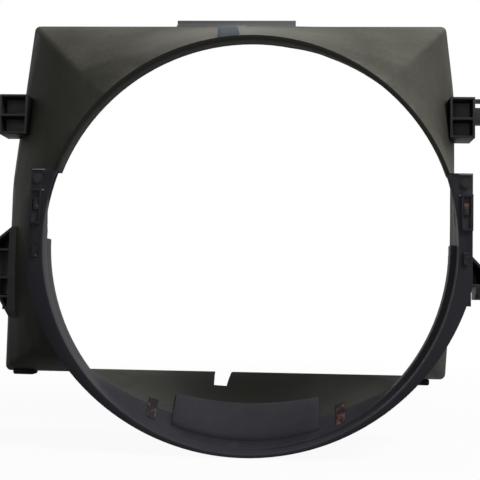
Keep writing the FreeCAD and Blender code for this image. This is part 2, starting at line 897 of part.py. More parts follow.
# ---------------------------------------------------------------- lower brackets

def gusset_outline(word):
    """Outline of a lower bracket from its wall edge out to the hook, as (reach, height)."""
    wall = size(word + "_gusset_wall")
    start = size(word + "_gusset_start")
    top = size(word + "_gusset_top")
    bottom = size(word + "_gusset_bottom")
    slot_near = size(BRACKET_SIDES[word]) + size("slot_start")
    slot_far = slot_near + size("slot_width")
    tip = slot_far + size("hook_width")
    shelf = size("gusset_shelf")
    foot = size("gusset_shelf_foot")
    return [
        (wall, top),
        (start, top),
        (tip, size(word + "_gusset_tip_top")),
        (tip, size("hook_bottom")),
        (slot_far, size("hook_bottom")),
        (slot_far, shelf),
        (slot_near, shelf),
        (slot_near, foot),
        (start + (foot - bottom) * 0.6, foot),
        (start, bottom),
        (wall, bottom),
    ]


def prism(points, side, front, back):
    """A plate of the given outline between two depths."""
    corners = [Vector(side * x, front, z) for x, z in points]
    face = Part.Face(Part.makePolygon(corners + corners[:1]))
    return face.extrude(Vector(0, back - front, 0))


def gusset_cells(word, side, outline):
    """The hollows between a lower bracket's ribs, open to the front."""
    web = size("gusset_web")
    front = size("gusset_front") - 1
    back = size("gusset_back") - web
    corners = [Vector(side * x, front, z) for x, z in outline]
    inside = Part.makePolygon(corners + corners[:1]).makeOffset2D(-web, 2)
    inside = Part.Face(inside).extrude(Vector(0, back - front, 0))
    near = size(word + "_gusset_start") + web
    far = size(BRACKET_SIDES[word]) + size("slot_start") + size("slot_width") + 40
    levels = (size(word + "_gusset_bottom"), size("gusset_shelf_foot"),
              size("gusset_shelf"), size("gusset_rib"), size(word + "_gusset_top"))
    cells = []
    for low, high in zip(levels, levels[1:]):
        ends = sorted((side * near, side * far))
        cell = block(ends[0], ends[1], front, back, low + web / 2, high - web / 2)
        cells.append(cell.common(inside))
    return [cell for cell in cells if cell.Volume > web ** 3]


def lower_bracket(word, side):
    """A ribbed gusset on the shroud's side with a hooked slot that opens downwards."""
    rim_side = size(BRACKET_SIDES[word])
    outline = gusset_outline(word)
    solid = prism(outline, side, size("gusset_front"), size("gusset_back"))
    solid = solid.cut(gusset_cells(word, side, outline))
    near = rim_side - size("left_taper")
    far = rim_side + size("flange_thickness")
    bottom, top = (sheet_value(text) for text in flange_spans(word)[1])
    flange = prism([(near, bottom), (far, bottom), (far, top), (near, top)], side,
                   size("flange_front"), rim_depth)
    solid = solid.fuse(flange).cut(envelope)
    tools = []
    for height in (bottom + size("rivet_margin"), top - size("rivet_margin")):
        centre = Vector(0, size("rivet_depth"), height)
        tools.append(Part.makeCylinder(size("rivet_radius"), reach, centre,
                                       Vector(side, 0, 0)))
    return moulding("lower_%s_bracket" % word, solid.cut(tools).removeSplitter())


for word, side in SIDES:
    lower_bracket(word, side)

# ---------------------------------------------------------------- bracket rivets

def rivet(name, side, rim_side, height, lean):
    """A blind rivet through a bracket's flange and the rim's side wall."""
    outside = "%s + flange_thickness" % rim_side
    grip = "flange_thickness + fit_gap + wall + rivet_tail + %s" % lean
    inside = "(%s - (%s))" % (outside, grip)
    shank_start = signed(side, inside) if side > 0 else "-(%s)" % outside
    shank = rod(name + "_shank", "rivet_radius", grip, shank_start, "rivet_depth", height, "x")
    head_start = signed(side, outside) if side > 0 else "-(%s + rivet_head)" % outside
    head = rod(name + "_head", "rivet_head_radius", "rivet_head", head_start,
               "rivet_depth", height, "x")
    return join(name, [shank, head])


rivets = []
for word, side in SIDES:
    for level, (bottom, top) in zip(("upper", "lower"), flange_spans(word)):
        for mark, height in (("low", bottom + " + rivet_margin"),
                             ("high", top + " - rivet_margin")):
            lean = "0"
            if level == "upper" and word == "left":
                lean = ("left_taper * (%s - left_taper_start) / (rim_top - left_taper_start)"
                        % height)
            if level == "lower" and word == "right":
                lean = ("right_flare * (right_flare_end - (%s))"
                        " / (right_flare_end + rim_bottom)" % height)
            rivets.append(rivet("%s_%s_%s_rivet" % (level, word, mark), side,
                                BRACKET_SIDES[word], height, lean))
group = doc.addObject("Part::Compound", "rivets")
group.Links = rivets
node(group, "bracket_rivets")

# ---------------------------------------------------------------- top strip

def top_strip():
    """The air-seal strip that stands on the rim's top wall."""
    front = "rim_depth - strip_depth"
    near, far = "-strip_left", "strip_right"
    floor = "rim_top + fit_gap / 2"
    base = slab("strip_foot", 1, near, far, front, "rim_depth", floor,
                "rim_top + strip_base")
    upright = slab("strip_upright", 1, near, far, "rim_depth - strip_wall", "rim_depth",
                   floor, "rim_top + strip_height")
    bead = rod("strip_bead", "strip_bead", "strip_left + strip_right", near,
               "rim_depth - strip_wall / 2", "rim_top + strip_height", "x")
    return node(join("top_strip", [base, upright, bead]), "top_seal_strip")


top_strip()

# ---------------------------------------------------------------- harness clip

def harness_clip():
    """The small block on the collar's top that holds a cable."""
    left = -size("harness_left")
    front = size("harness_front")
    back = front + size("harness_depth")
    top = size("harness_top")
    solid = block(left, left + size("harness_width"), front, back,
                  opening - size("harness_width"), top)
    corners = [edge for edge in solid.Edges
               if edge.BoundBox.ZMin > top - 0.1 and edge.BoundBox.XLength < 0.1]
    solid = solid.makeFillet(size("harness_corner"), corners)
    solid = solid.cut(disc(collar_outer + gap, -1, rim_depth))
    solid = solid.cut(disc(bead_radius + gap, -1, size("bead_depth") + gap))
    solid = solid.cut(funnel(-gap - size("pad_height"), 1.0))
    centre = Vector(left - 1, front + size("harness_depth") * 0.3, top - 7.0)
    throat = Part.makeCylinder(size("harness_throat_radius"), size("harness_width") + 2,
                               centre, Vector(1, 0, 0))
    return moulding("harness_clip", solid.cut(throat).removeSplitter())


harness_clip()

# ---------------------------------------------------------------- rubber feet

def foot(word):
    """A rubber isolator pushed onto a peg under the rim."""
    name = "bottom_%s_foot" % word
    centre = "%s_foot_centre" % word
    top = "-rim_bottom - fit_gap / 2"
    middle = "foot_front + foot_depth / 2"
    cushion = doc.addObject("Part::Box", name + "_cushion")
    bind(cushion, Length="foot_width", Width="foot_depth", Height="foot_height - fit_gap / 2")
    place(cushion, "%s - foot_width / 2" % centre, "foot_front", "-rim_bottom - foot_height")
    doc.recompute([cushion])
    rounded = doc.addObject("Part::Fillet", name + "_rounded")
    rounded.Base = cushion
    low_edges = [index for index, edge in enumerate(cushion.Shape.Edges, start=1)
                 if edge.BoundBox.ZMax < -size("rim_bottom") - size("foot_height") + 0.1]
    rounded.Edges = [(index, size("foot_corner"), size("foot_corner")) for index in low_edges]
    socket = doc.addObject("Part::Box", name + "_socket")
    bind(socket, Length="peg_width + fit_gap", Width="peg_depth + fit_gap",
         Height="peg_height + fit_gap")
    place(socket, "%s - peg_width / 2 - fit_gap / 2" % centre,
          "%s - peg_depth / 2 - fit_gap / 2" % middle, "-rim_bottom - peg_height - fit_gap / 2")
    return node(carve(name, rounded, [socket, seat]), name)


for word, _ in SIDES:
    foot(word)

# ---------------------------------------------------------------- checks and files

doc.recompute()
for feature in doc.Objects:
    faults = [state for state in feature.State if state in ("Invalid", "Error")]
    if faults:
        raise RuntimeError("%s is %s" % (feature.Label, faults))

for feature in nodes:
    shape = feature.Shape
    if shape.isNull() or not shape.isValid():
        raise RuntimeError("%s has no valid shape" % feature.Label)
    shape.exportStep("parts/%s.step" % feature.Label)
    print("%-22s %d solid(s) %12.1f mm3" % (feature.Label, len(shape.Solids), shape.Volume))
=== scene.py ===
# %% [markdown]
# # A two-piece radiator fan shroud
# The shroud is the plastic duct that stands between a truck's radiator and its fan.
# The imported model already has every solid in its place, so this notebook starts from it
# and adds what solids alone lack: softened edges, ledges with a painted highlight, dust,
# stains, painted shade and light.

# %% Load the imported model
import json
import math

import bpy
from mathutils import Matrix, Vector


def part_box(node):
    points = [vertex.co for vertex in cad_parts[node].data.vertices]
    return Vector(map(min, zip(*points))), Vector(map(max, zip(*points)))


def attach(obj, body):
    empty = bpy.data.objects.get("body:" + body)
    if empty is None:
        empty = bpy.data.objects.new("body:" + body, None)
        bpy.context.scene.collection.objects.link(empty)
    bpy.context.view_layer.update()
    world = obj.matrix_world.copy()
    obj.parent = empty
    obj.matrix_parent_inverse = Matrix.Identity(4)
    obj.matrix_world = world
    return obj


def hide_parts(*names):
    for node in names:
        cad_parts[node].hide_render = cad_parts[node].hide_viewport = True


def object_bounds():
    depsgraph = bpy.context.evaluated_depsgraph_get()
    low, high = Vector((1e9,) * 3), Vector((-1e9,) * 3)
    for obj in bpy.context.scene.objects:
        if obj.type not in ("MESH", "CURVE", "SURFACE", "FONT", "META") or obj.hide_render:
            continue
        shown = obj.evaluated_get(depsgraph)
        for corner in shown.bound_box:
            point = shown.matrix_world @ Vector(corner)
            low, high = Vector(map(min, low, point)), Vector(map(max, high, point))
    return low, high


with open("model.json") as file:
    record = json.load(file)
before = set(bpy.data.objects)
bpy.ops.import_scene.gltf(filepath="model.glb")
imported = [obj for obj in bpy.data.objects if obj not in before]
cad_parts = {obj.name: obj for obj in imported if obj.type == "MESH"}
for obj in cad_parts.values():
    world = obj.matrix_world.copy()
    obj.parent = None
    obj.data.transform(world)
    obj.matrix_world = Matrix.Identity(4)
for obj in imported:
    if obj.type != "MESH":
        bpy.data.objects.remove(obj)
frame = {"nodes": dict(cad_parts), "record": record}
cad_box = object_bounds()
print("CAD box", cad_box)

# %% [markdown]
# ## The camera
# The camera stands on the engine's side, a little below and to the right of the opening's
# centre, and looks slightly left and up.  A tracking constraint could aim it, but would
# keep it level, and this camera is rolled a little.  So its turn is built from three
# angles: yaw about the vertical, then pitch, then roll.

# %% Place the camera
CAMERA_PLACE = Vector((0.066, -1.100, -0.073))
CAMERA_YAW = math.radians(-3.9)
CAMERA_PITCH = math.radians(4.0)
CAMERA_ROLL = math.radians(1.27)
FIELD_OF_VIEW = math.radians(30.2)
SENSOR_WIDTH = 36.0


def camera_axes(yaw, pitch, roll):
    """The camera's right, up and forward directions in the object's frame."""
    forward = Vector((math.sin(yaw) * math.cos(pitch), math.cos(yaw) * math.cos(pitch),
                      math.sin(pitch)))
    right = Vector((math.cos(yaw), -math.sin(yaw), 0.0))
    up = right.cross(forward)
    rolled_right = right * math.cos(roll) + up * math.sin(roll)
    rolled_up = up * math.cos(roll) - right * math.sin(roll)
    return rolled_right, rolled_up, forward


right, up, forward = camera_axes(CAMERA_YAW, CAMERA_PITCH, CAMERA_ROLL)
camera_data = bpy.data.cameras.new("view_camera")
camera_data.sensor_width = SENSOR_WIDTH
camera_data.angle = FIELD_OF_VIEW
camera = bpy.data.objects.new("view_camera", camera_data)
bpy.context.scene.collection.objects.link(camera)
turn = Matrix((right, up, -forward)).transposed()
camera.matrix_world = Matrix.Translation(CAMERA_PLACE) @ turn.to_4x4()
bpy.context.scene.camera = camera
bpy.context.scene.view_settings.view_transform = "Standard"
print("lens", round(camera_data.lens, 2), "mm")

# %% [markdown]
# ## Light and surroundings
# A plain studio: a soft lamp high on the right and not far in front of the rim, so that
# the funnel's left flank turns away from it, a weak lamp in front, and an even world
# light.  A lit room around the piece would do too, but its shapes would show in the
# plastic.  The background is fully white for rays from the camera, from reflections and
# through clear pieces, and every other ray meets a dim grey one: that is the even light.

# %% Light the world
def white_for_camera(tree, dim):
    """A strength that is 1 for camera, glossy and transmission rays and dim for the rest."""
    path = tree.nodes.new("ShaderNodeLightPath")
    either = tree.nodes.new("ShaderNodeMath")
    either.operation = "MAXIMUM"
    tree.links.new(path.outputs["Is Camera Ray"], either.inputs[0])
    tree.links.new(path.outputs["Is Glossy Ray"], either.inputs[1])
    third = tree.nodes.new("ShaderNodeMath")
    third.operation = "MAXIMUM"
    tree.links.new(either.outputs[0], third.inputs[0])
    tree.links.new(path.outputs["Is Transmission Ray"], third.inputs[1])
    blend = tree.nodes.new("ShaderNodeMapRange")
    blend.inputs["To Min"].default_value = dim
    blend.inputs["To Max"].default_value = 1.0
    tree.links.new(third.outputs[0], blend.inputs["Value"])
    return blend.outputs["Result"]


WHITE = (1.0, 1.0, 1.0, 1.0)
WORLD_LEVEL = 0.22
world = bpy.data.worlds.new("studio")
world.use_nodes = True
bpy.context.scene.world = world
background = world.node_tree.nodes["Background"]
background.inputs["Color"].default_value = WHITE
world.node_tree.links.new(white_for_camera(world.node_tree, WORLD_LEVEL),
                          background.inputs["Strength"])
print("world light", WORLD_LEVEL)

# %% Hang the lamps
KEY_PLACE = (1.55, -0.95, 1.75)
KEY_AIM = (0.0, 0.05, 0.1)
KEY_SIZE = 0.8
KEY_POWER = 66.0
FILL_PLACE = (-0.4, -2.2, 0.3)
FILL_AIM = (0.0, 0.05, 0.0)
FILL_SIZE = 1.2
FILL_POWER = 5.0


def soft_lamp(name, place, aim, size, power):
    """A square area lamp that faces a point."""
    data = bpy.data.lights.new(name, "AREA")
    data.size = size
    data.energy = power
    lamp = bpy.data.objects.new(name, data)
    bpy.context.scene.collection.objects.link(lamp)
    lamp.location = place
    lamp.rotation_euler = (Vector(aim) - Vector(place)).to_track_quat("-Z", "Y").to_euler()
    print(name, "lamp", power, "W")


soft_lamp("key", KEY_PLACE, KEY_AIM, KEY_SIZE, KEY_POWER)
soft_lamp("fill", FILL_PLACE, FILL_AIM, FILL_SIZE, FILL_POWER)

# %% [markdown]
# ## The floor
# The shroud stands on a pale floor that takes its shadow.  A plain grey plane would do
# that, but its far edge would show against the white.  So the floor's paint is mixed with
# a white glow that the camera alone sees.  Nearby, a small share of paint is left for the
# shadow to fall on, and farther off the glow takes over until nothing of the edge shows.

# %% Lay the floor
FLOOR_DROP = 0.001
FLOOR_WIDTH = 12.0
floor_height = min(cad_box[0][2], cad_box[1][2]) - FLOOR_DROP
bpy.ops.object.select_all(action="DESELECT")
bpy.ops.mesh.primitive_plane_add(size=FLOOR_WIDTH, location=(0.0, 0.0, floor_height))
floor = bpy.context.object
floor.name = "floor"
print("floor at", round(floor_height, 4))

# %% Paint the floor
FLOOR_GREY = (0.55, 0.55, 0.55, 1.0)
FLOOR_ROUGHNESS = 0.9
GLOW_LEVEL = 1.01
NEAR_GLOW = 0.93
NEAR_FLOOR = 0.5
FAR_FLOOR = 2.5
floor_paint = bpy.data.materials.new("pale_floor")
floor_paint.use_nodes = True
nodes = floor_paint.node_tree.nodes
links = floor_paint.node_tree.links
matte = nodes["Principled BSDF"]
matte.inputs["Base Color"].default_value = FLOOR_GREY
matte.inputs["Roughness"].default_value = FLOOR_ROUGHNESS
glow = nodes.new("ShaderNodeEmission")
glow.inputs["Strength"].default_value = GLOW_LEVEL
both = nodes.new("ShaderNodeMixShader")
path = nodes.new("ShaderNodeLightPath")
share = nodes.new("ShaderNodeMath")
share.operation = "MULTIPLY"
place = nodes.new("ShaderNodeTexCoord")
away = nodes.new("ShaderNodeVectorMath")
away.operation = "LENGTH"
links.new(place.outputs["Object"], away.inputs[0])
fade = nodes.new("ShaderNodeMapRange")
fade.inputs["From Min"].default_value = NEAR_FLOOR
fade.inputs["From Max"].default_value = FAR_FLOOR
fade.inputs["To Min"].default_value = NEAR_GLOW
links.new(away.outputs["Value"], fade.inputs["Value"])
links.new(fade.outputs["Result"], share.inputs[1])
links.new(path.outputs["Is Camera Ray"], share.inputs[0])
links.new(share.outputs[0], both.inputs["Fac"])
links.new(matte.outputs[0], both.inputs[1])
links.new(glow.outputs[0], both.inputs[2])
links.new(both.outputs[0], nodes["Material Output"].inputs["Surface"])
floor.data.materials.append(floor_paint)
print("floor fades from", NEAR_FLOOR, "to", FAR_FLOOR, "m")

# %% [markdown]
# ## Shared finishes
# Old plastic under a bonnet is dark, and dust lies on whatever faces up.  Dust could be
# painted on by hand, but then every piece would have to be unwrapped first.  A shader
# node group works it out from the surface instead: one says where dust lies, another
# where stains run, and each material mixes them with its own colours.

# %% Make helpers for node groups
def new_group(name, inputs, outputs):
    """An empty shader node group with float inputs and outputs."""
    group = bpy.data.node_groups.new(name, "ShaderNodeTree")
    for label, value in inputs:
        socket = group.interface.new_socket(label, in_out="INPUT", socket_type="NodeSocketFloat")
        socket.default_value = value
    for label in outputs:
        group.interface.new_socket(label, in_out="OUTPUT", socket_type="NodeSocketFloat")
    enter = group.nodes.new("NodeGroupInput")
    leave = group.nodes.new("NodeGroupOutput")
    print("node group", name)
    return group, enter, leave


def math_node(group, operation, first, second=None, third=None):
    """A math node fed by links or plain numbers."""
    node = group.nodes.new("ShaderNodeMath")
    node.operation = operation
    for index, value in enumerate((first, second, third)):
        if value is None:
            continue
        if isinstance(value, (int, float)):
            node.inputs[index].default_value = value
        else:
            group.links.new(value, node.inputs[index])
    return node.outputs[0]


def stretched(group, mask, lowest, highest):
    """A mask from 0 to 1, stretched to run from lowest to highest."""
    return math_node(group, "MULTIPLY_ADD", mask, highest - lowest, lowest)


def noise(group, scale, detail=4.0, roughness=0.55, squash=(1.0, 1.0, 1.0)):
    """Noise on Object coordinates; scale is in features per metre."""
    place = group.nodes.new("ShaderNodeTexCoord")
    stretch = group.nodes.new("ShaderNodeMapping")
    stretch.inputs["Scale"].default_value = squash
    group.links.new(place.outputs["Object"], stretch.inputs["Vector"])
    node = group.nodes.new("ShaderNodeTexNoise")
    node.inputs["Detail"].default_value = detail
    node.inputs["Roughness"].default_value = roughness
    node.inputs["Scale"].default_value = scale
    group.links.new(stretch.outputs[0], node.inputs["Vector"])
    return node.outputs["Fac"]


# %% Make the dust group
CLOUD_SCALE = 9.0
THINNEST_CLOUD = 0.1
THICKEST_CLOUD = 1.0
SPECKLE_SCALE = 160.0
FAINTEST_SPECKLE = 0.65
STRONGEST_SPECKLE = 1.35


def build_dust_group():
    """Dust lies on faces that look up, in soft clouds with fine speckle."""
    group, enter, leave = new_group("settled_dust", [("Amount", 1.0), ("Lean", 0.0)],
                                    ["Mask"])
    facing = group.nodes.new("ShaderNodeNewGeometry")
    split = group.nodes.new("ShaderNodeSeparateXYZ")
    group.links.new(facing.outputs["Normal"], split.inputs[0])
    rise = math_node(group, "ADD", split.outputs["Z"], enter.outputs["Lean"])
    rise = math_node(group, "MAXIMUM", rise, 0.0)
    clouds = stretched(group, noise(group, CLOUD_SCALE), THINNEST_CLOUD, THICKEST_CLOUD)
    grit = noise(group, SPECKLE_SCALE, detail=6.0, roughness=0.7)
    speckle = stretched(group, grit, FAINTEST_SPECKLE, STRONGEST_SPECKLE)
    dust = math_node(group, "MULTIPLY", rise, clouds)
    dust = math_node(group, "MULTIPLY", dust, speckle)
    dust = math_node(group, "MULTIPLY", dust, enter.outputs["Amount"])
    limit = math_node(group, "MINIMUM", dust, 1.0)
    group.links.new(limit, leave.inputs["Mask"])
    return group


dust_group = build_dust_group()

# %% Make the stain group
BLOTCH_SCALE = 6.0
RUN_SCALE = 22.0
# Runs are drawn out along Z, because they come from something that trickled down.
RUN_SQUASH = (1.0, 1.0, 0.12)
STAIN_STARTS = 0.16
STAIN_FULL = 0.42


def build_stain_group():
    """Broad blotches and faint downward runs."""
    group, enter, leave = new_group("grime", [("Amount", 1.0)], ["Mask"])
    blotch = noise(group, BLOTCH_SCALE, detail=5.0, roughness=0.6)
    runs = noise(group, RUN_SCALE, detail=3.0, roughness=0.5, squash=RUN_SQUASH)
    both = math_node(group, "MULTIPLY", blotch, runs)
    ramp = group.nodes.new("ShaderNodeMapRange")
    ramp.inputs["From Min"].default_value = STAIN_STARTS
    ramp.inputs["From Max"].default_value = STAIN_FULL
    group.links.new(both, ramp.inputs["Value"])
    scaled = math_node(group, "MULTIPLY", ramp.outputs["Result"], enter.outputs["Amount"])
    group.links.new(scaled, leave.inputs["Mask"])
    return group


stain_group = build_stain_group()

# %% [markdown]
# ## Painted shade and other marks in one place
# Painted shade darkens the duct beside its brackets, down its left side and in the middle of
# its floor, and the middle of its top is made paler.  Noise can't put a mark where it
# belongs, and painting needs an unwrapped piece.  Such a mark is a soft round spot about a
# point, so one group makes them all: it measures how far the surface lies from the point
# and fades with distance.

# %% Make the soft spot group
RIPPLE_SCALE = 14.0
LEAST_RIPPLE = 0.75
MOST_RIPPLE = 1.25


def build_spot_group():
    """A mask that is 1 at a point of the object and fades to 0 at a radius."""
    inputs = [("X", 0.0), ("Y", 0.0), ("Z", 0.0), ("Radius", 0.1), ("Width", 1.0)]
    group, enter, leave = new_group("soft_spot", inputs, ["Mask"])
    place = group.nodes.new("ShaderNodeTexCoord")
    split = group.nodes.new("ShaderNodeSeparateXYZ")
    group.links.new(place.outputs["Object"], split.inputs[0])
    squares = []
    for axis in "XYZ":
        away = math_node(group, "SUBTRACT", split.outputs[axis], enter.outputs[axis])
        if axis == "X":
            away = math_node(group, "DIVIDE", away, enter.outputs["Width"])
        squares.append(math_node(group, "MULTIPLY", away, away))
    total = math_node(group, "ADD", math_node(group, "ADD", squares[0], squares[1]), squares[2])
    far = math_node(group, "SQRT", total)
    waves = noise(group, RIPPLE_SCALE, detail=4.0, roughness=0.6)
    far = math_node(group, "MULTIPLY", far,
                    stretched(group, waves, LEAST_RIPPLE, MOST_RIPPLE))
    fade = group.nodes.new("ShaderNodeMapRange")
    fade.interpolation_type = "SMOOTHSTEP"
    group.links.new(math_node(group, "DIVIDE", far, enter.outputs["Radius"]),
                    fade.inputs["Value"])
    fade.inputs["To Min"].default_value = 1.0
    fade.inputs["To Max"].default_value = 0.0
    group.links.new(fade.outputs["Result"], leave.inputs["Mask"])
    return group


spot_group = build_spot_group()

# %% [markdown]
# ## Painted shade on the wall of the opening
# The wall of the opening lies in shade, and that shade is painted on, so the opening is
# darker than the funnel behind.  A soft spot is no use for a ring.  A second group compares
# each point's distance from the fan's axis, and its depth, with two limits.

# %% Make the bore wall group
def build_bore_group():
    """A mask that is 1 on the fan opening's wall and front edge, and 0 farther out or deeper."""
    group, enter, leave = new_group("bore_wall", [("Radius", 0.26), ("Depth", 0.03)], ["Mask"])
    place = group.nodes.new("ShaderNodeTexCoord")
    split = group.nodes.new("ShaderNodeSeparateXYZ")
    group.links.new(place.outputs["Object"], split.inputs[0])
    across = math_node(group, "MULTIPLY", split.outputs["X"], split.outputs["X"])
    upright = math_node(group, "MULTIPLY", split.outputs["Z"], split.outputs["Z"])
    reach = math_node(group, "SQRT", math_node(group, "ADD", across, upright))
    inside = math_node(group, "LESS_THAN", reach, enter.outputs["Radius"])
    shallow = math_node(group, "LESS_THAN", split.outputs["Y"], enter.outputs["Depth"])
    group.links.new(math_node(group, "MULTIPLY", inside, shallow), leave.inputs["Mask"])
    return group


bore_group = build_bore_group()

# %% [markdown]
# ## The plastics
# The mouldings differ in colour, dust and gloss, but they aged in the same way.  Each
# could have its own shader, built by hand, and they would soon drift apart.  One function
# builds them all instead: it lays grime and then dust over a base colour, adds painted
# shade and paler spots, makes dusty places dull and gives the surface a fine moulded grain.

# %% Mix colours in a material
def mixed(tree, factor, first, second):
    """A colour between two colours; each is a link or a plain colour."""
    node = tree.nodes.new("ShaderNodeMix")
    node.data_type = "RGBA"
    tree.links.new(factor, node.inputs["Factor"])
    for label, value in (("A", first), ("B", second)):
        socket = [s for s in node.inputs if s.name == label and s.type == "RGBA"][0]
        if isinstance(value, tuple):
            socket.default_value = value
        else:
            tree.links.new(value, socket)
    return [s for s in node.outputs if s.type == "RGBA"][0]


def placed_group(tree, group, **values):
    """A node group in a material, with its own input values."""
    node = tree.nodes.new("ShaderNodeGroup")
    node.node_tree = group
    for label, value in values.items():
        node.inputs[label].default_value = value
    return node.outputs["Mask"]


# %% Weather a plastic
DUST_ROUGHNESS = 0.95
GRAIN_SCALE = 500.0
GRAIN_HEIGHT = 0.0006


def weathered_and_shaded_plastic(name, base, dust_colour, grime_colour, dust, lean, grime, rough, grain,
                      marks=(), gloss=0.12, collar_shade=None):
    """Moulded plastic with settled dust, grime, painted shade and pale spots in places and a
    fine moulded grain.
    """
    material = bpy.data.materials.new(name)
    material.use_nodes = True
    tree = material.node_tree
    shader = tree.nodes["Principled BSDF"]
    dusty = placed_group(tree, dust_group, Amount=dust, Lean=lean)
    grimy = placed_group(tree, stain_group, Amount=grime)
    stained = mixed(tree, grimy, base, grime_colour)
    colour = mixed(tree, dusty, stained, dust_colour)
    # Each mark mixes a colour in about a point; most of them are painted shade.
    for mark in marks:
        x, y, z = mark["place"]
        spot = placed_group(tree, spot_group, X=x, Y=y, Z=z, Radius=mark["radius"],
                            Width=mark["width"])
        amount = math_node(tree, "MULTIPLY", spot, mark["strength"])
        colour = mixed(tree, amount, colour, mark["colour"])
    # The collar darkens the opening's wall with painted shade.
    if collar_shade:
        wall = placed_group(tree, bore_group, Radius=collar_shade["radius"], Depth=collar_shade["depth"])
        amount = math_node(tree, "MULTIPLY", wall, collar_shade["strength"])
        colour = mixed(tree, amount, colour, collar_shade["colour"])
    tree.links.new(colour, shader.inputs["Base Color"])
    shader.inputs["Specular IOR Level"].default_value = gloss
    dull = tree.nodes.new("ShaderNodeMapRange")
    dull.inputs["To Min"].default_value = rough
    dull.inputs["To Max"].default_value = DUST_ROUGHNESS
    tree.links.new(dusty, dull.inputs["Value"])
    tree.links.new(dull.outputs["Result"], shader.inputs["Roughness"])
    bump = tree.nodes.new("ShaderNodeBump")
    bump.inputs["Strength"].default_value = grain
    bump.inputs["Distance"].default_value = GRAIN_HEIGHT
    tree.links.new(noise(tree, GRAIN_SCALE, detail=2.0), bump.inputs["Height"])
    tree.links.new(bump.outputs["Normal"], shader.inputs["Normal"])
    print("plastic", name)
    return material


# %% Name the painted shade and other marks on the upper moulding
# The two dark colours are painted shade; the pale one makes a spot paler.
DEEP_SHADE = (0.012, 0.012, 0.010, 1.0)
SOFT_SHADE = (0.045, 0.045, 0.044, 1.0)
PALE = (0.30, 0.29, 0.265, 1.0)
# Places are measured from the fan's axis, at the front of the opening.  Most marks have
# their middle at the same depth behind it.
MARK_DEPTH = 0.10
FLOOR_MIDDLE = (0.005, MARK_DEPTH, -0.172)
shroud_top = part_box("upper_shroud")[1][2]
right_bracket_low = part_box("upper_right_bracket")[0]
left_bracket_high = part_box("lower_left_bracket")[1]
MARKS = (
    # Painted shadow at the inner corner of the upper right bracket.
    dict(place=(right_bracket_low[0], MARK_DEPTH, right_bracket_low[2]), radius=0.075,
         width=0.8, strength=0.85, colour=DEEP_SHADE),
    # A narrow painted shadow beside the lower left bracket.
    dict(place=(left_bracket_high[0] + 0.030, 0.09, -0.03), radius=0.120,
         width=0.35, strength=0.7, colour=DEEP_SHADE),
    # Painted shade on the floor: grey over most of it, and darkest in its middle.
    dict(place=FLOOR_MIDDLE, radius=0.300, width=1.2, strength=1.0, colour=SOFT_SHADE),
    dict(place=FLOOR_MIDDLE, radius=0.200, width=1.25, strength=1.0, colour=DEEP_SHADE),
    # Painted shade down the left side, darker below.
    dict(place=(-0.30, MARK_DEPTH, -0.09), radius=0.230, width=1.0, strength=0.85, colour=DEEP_SHADE),
    dict(place=(-0.29, MARK_DEPTH, 0.20), radius=0.160, width=1.0, strength=0.45, colour=DEEP_SHADE),
    # Paler under the middle of the top rim.
    dict(place=(-0.03, 0.06, shroud_top - 0.035), radius=0.085, width=2.0, strength=0.45,
         colour=PALE),
)
print(len(MARKS), "marks on the upper moulding")

# %% Paint shade on the wall of the opening
# The painted shade covers the wall, and reaches a little past it over the front edge.
SHADE_REACH = 0.0052
SHADE_DEPTH = 0.032
fan_opening = next(mount for mount in frame["record"]["mounts"]
                   if mount["name"] == "fan_opening")
OPENING_RADIUS = fan_opening["dims"]["r_mm"] / 1000
COLLAR_SHADE = dict(radius=OPENING_RADIUS + SHADE_REACH, depth=SHADE_DEPTH, strength=0.9, colour=DEEP_SHADE)
print("opening radius", OPENING_RADIUS)

# %% Mix the plastics and the rubber
# The upper moulding's finish also carries the painted shade of the marks and the opening's wall.
dusty_plastic = weathered_and_shaded_plastic(
    "dusty_plastic", base=(0.013, 0.013, 0.010, 1.0), dust_colour=(0.150, 0.146, 0.124, 1.0),
    grime_colour=(0.034, 0.034, 0.027, 1.0), dust=1.15, lean=0.16, grime=0.5, rough=0.5,
    grain=0.15, marks=MARKS, gloss=0.04, collar_shade=COLLAR_SHADE)
grey_plastic = weathered_and_shaded_plastic(
    "grey_plastic", base=(0.0135, 0.0138, 0.0175, 1.0), dust_colour=(0.070, 0.071, 0.080, 1.0),
    grime_colour=(0.028, 0.028, 0.032, 1.0), dust=0.5, lean=0.0, grime=0.4, rough=0.5,
    grain=0.12, gloss=0.07)
black_plastic = weathered_and_shaded_plastic(
    "black_plastic", base=(0.0095, 0.0095, 0.0105, 1.0), dust_colour=(0.075, 0.077, 0.083, 1.0),
    grime_colour=(0.019, 0.019, 0.021, 1.0), dust=0.5, lean=0.03, grime=0.4, rough=0.42,
    grain=0.12, gloss=0.18)
pale_strip = weathered_and_shaded_plastic(
    "pale_strip", base=(0.115, 0.115, 0.120, 1.0), dust_colour=(0.26, 0.26, 0.265, 1.0),
    grime_colour=(0.05, 0.05, 0.052, 1.0), dust=0.6, lean=0.35, grime=0.4, rough=0.6,
    grain=0.12)
harness_grey = weathered_and_shaded_plastic(
    "harness_grey", base=(0.095, 0.110, 0.128, 1.0), dust_colour=(0.19, 0.21, 0.23, 1.0),
    grime_colour=(0.03, 0.035, 0.04, 1.0), dust=0.5, lean=0.35, grime=0.4, rough=0.5,
    grain=0.12, gloss=0.18)
black_rubber = weathered_and_shaded_plastic(
    "black_rubber", base=(0.007, 0.007, 0.007, 1.0), dust_colour=(0.04, 0.04, 0.038, 1.0),
    grime_colour=(0.012, 0.012, 0.012, 1.0), dust=0.4, lean=0.0, grime=0.3, rough=0.75,
    grain=0.2, gloss=0.1)

# %% [markdown]
# ## The metals
# The spring clips are thin steel that has begun to rust, and the sleeves and rivets are
# nearly clean.  Two shaders could be mixed by a mask, but one is enough: where noise makes
# a patch of rust, its colour changes and it loses most of its metallic look.

# %% Rust the steel
RUST_SCALE = 90.0
RUST_STARTS = 0.62
RUST_FULL = 0.75
RUST_METALLIC = 0.15


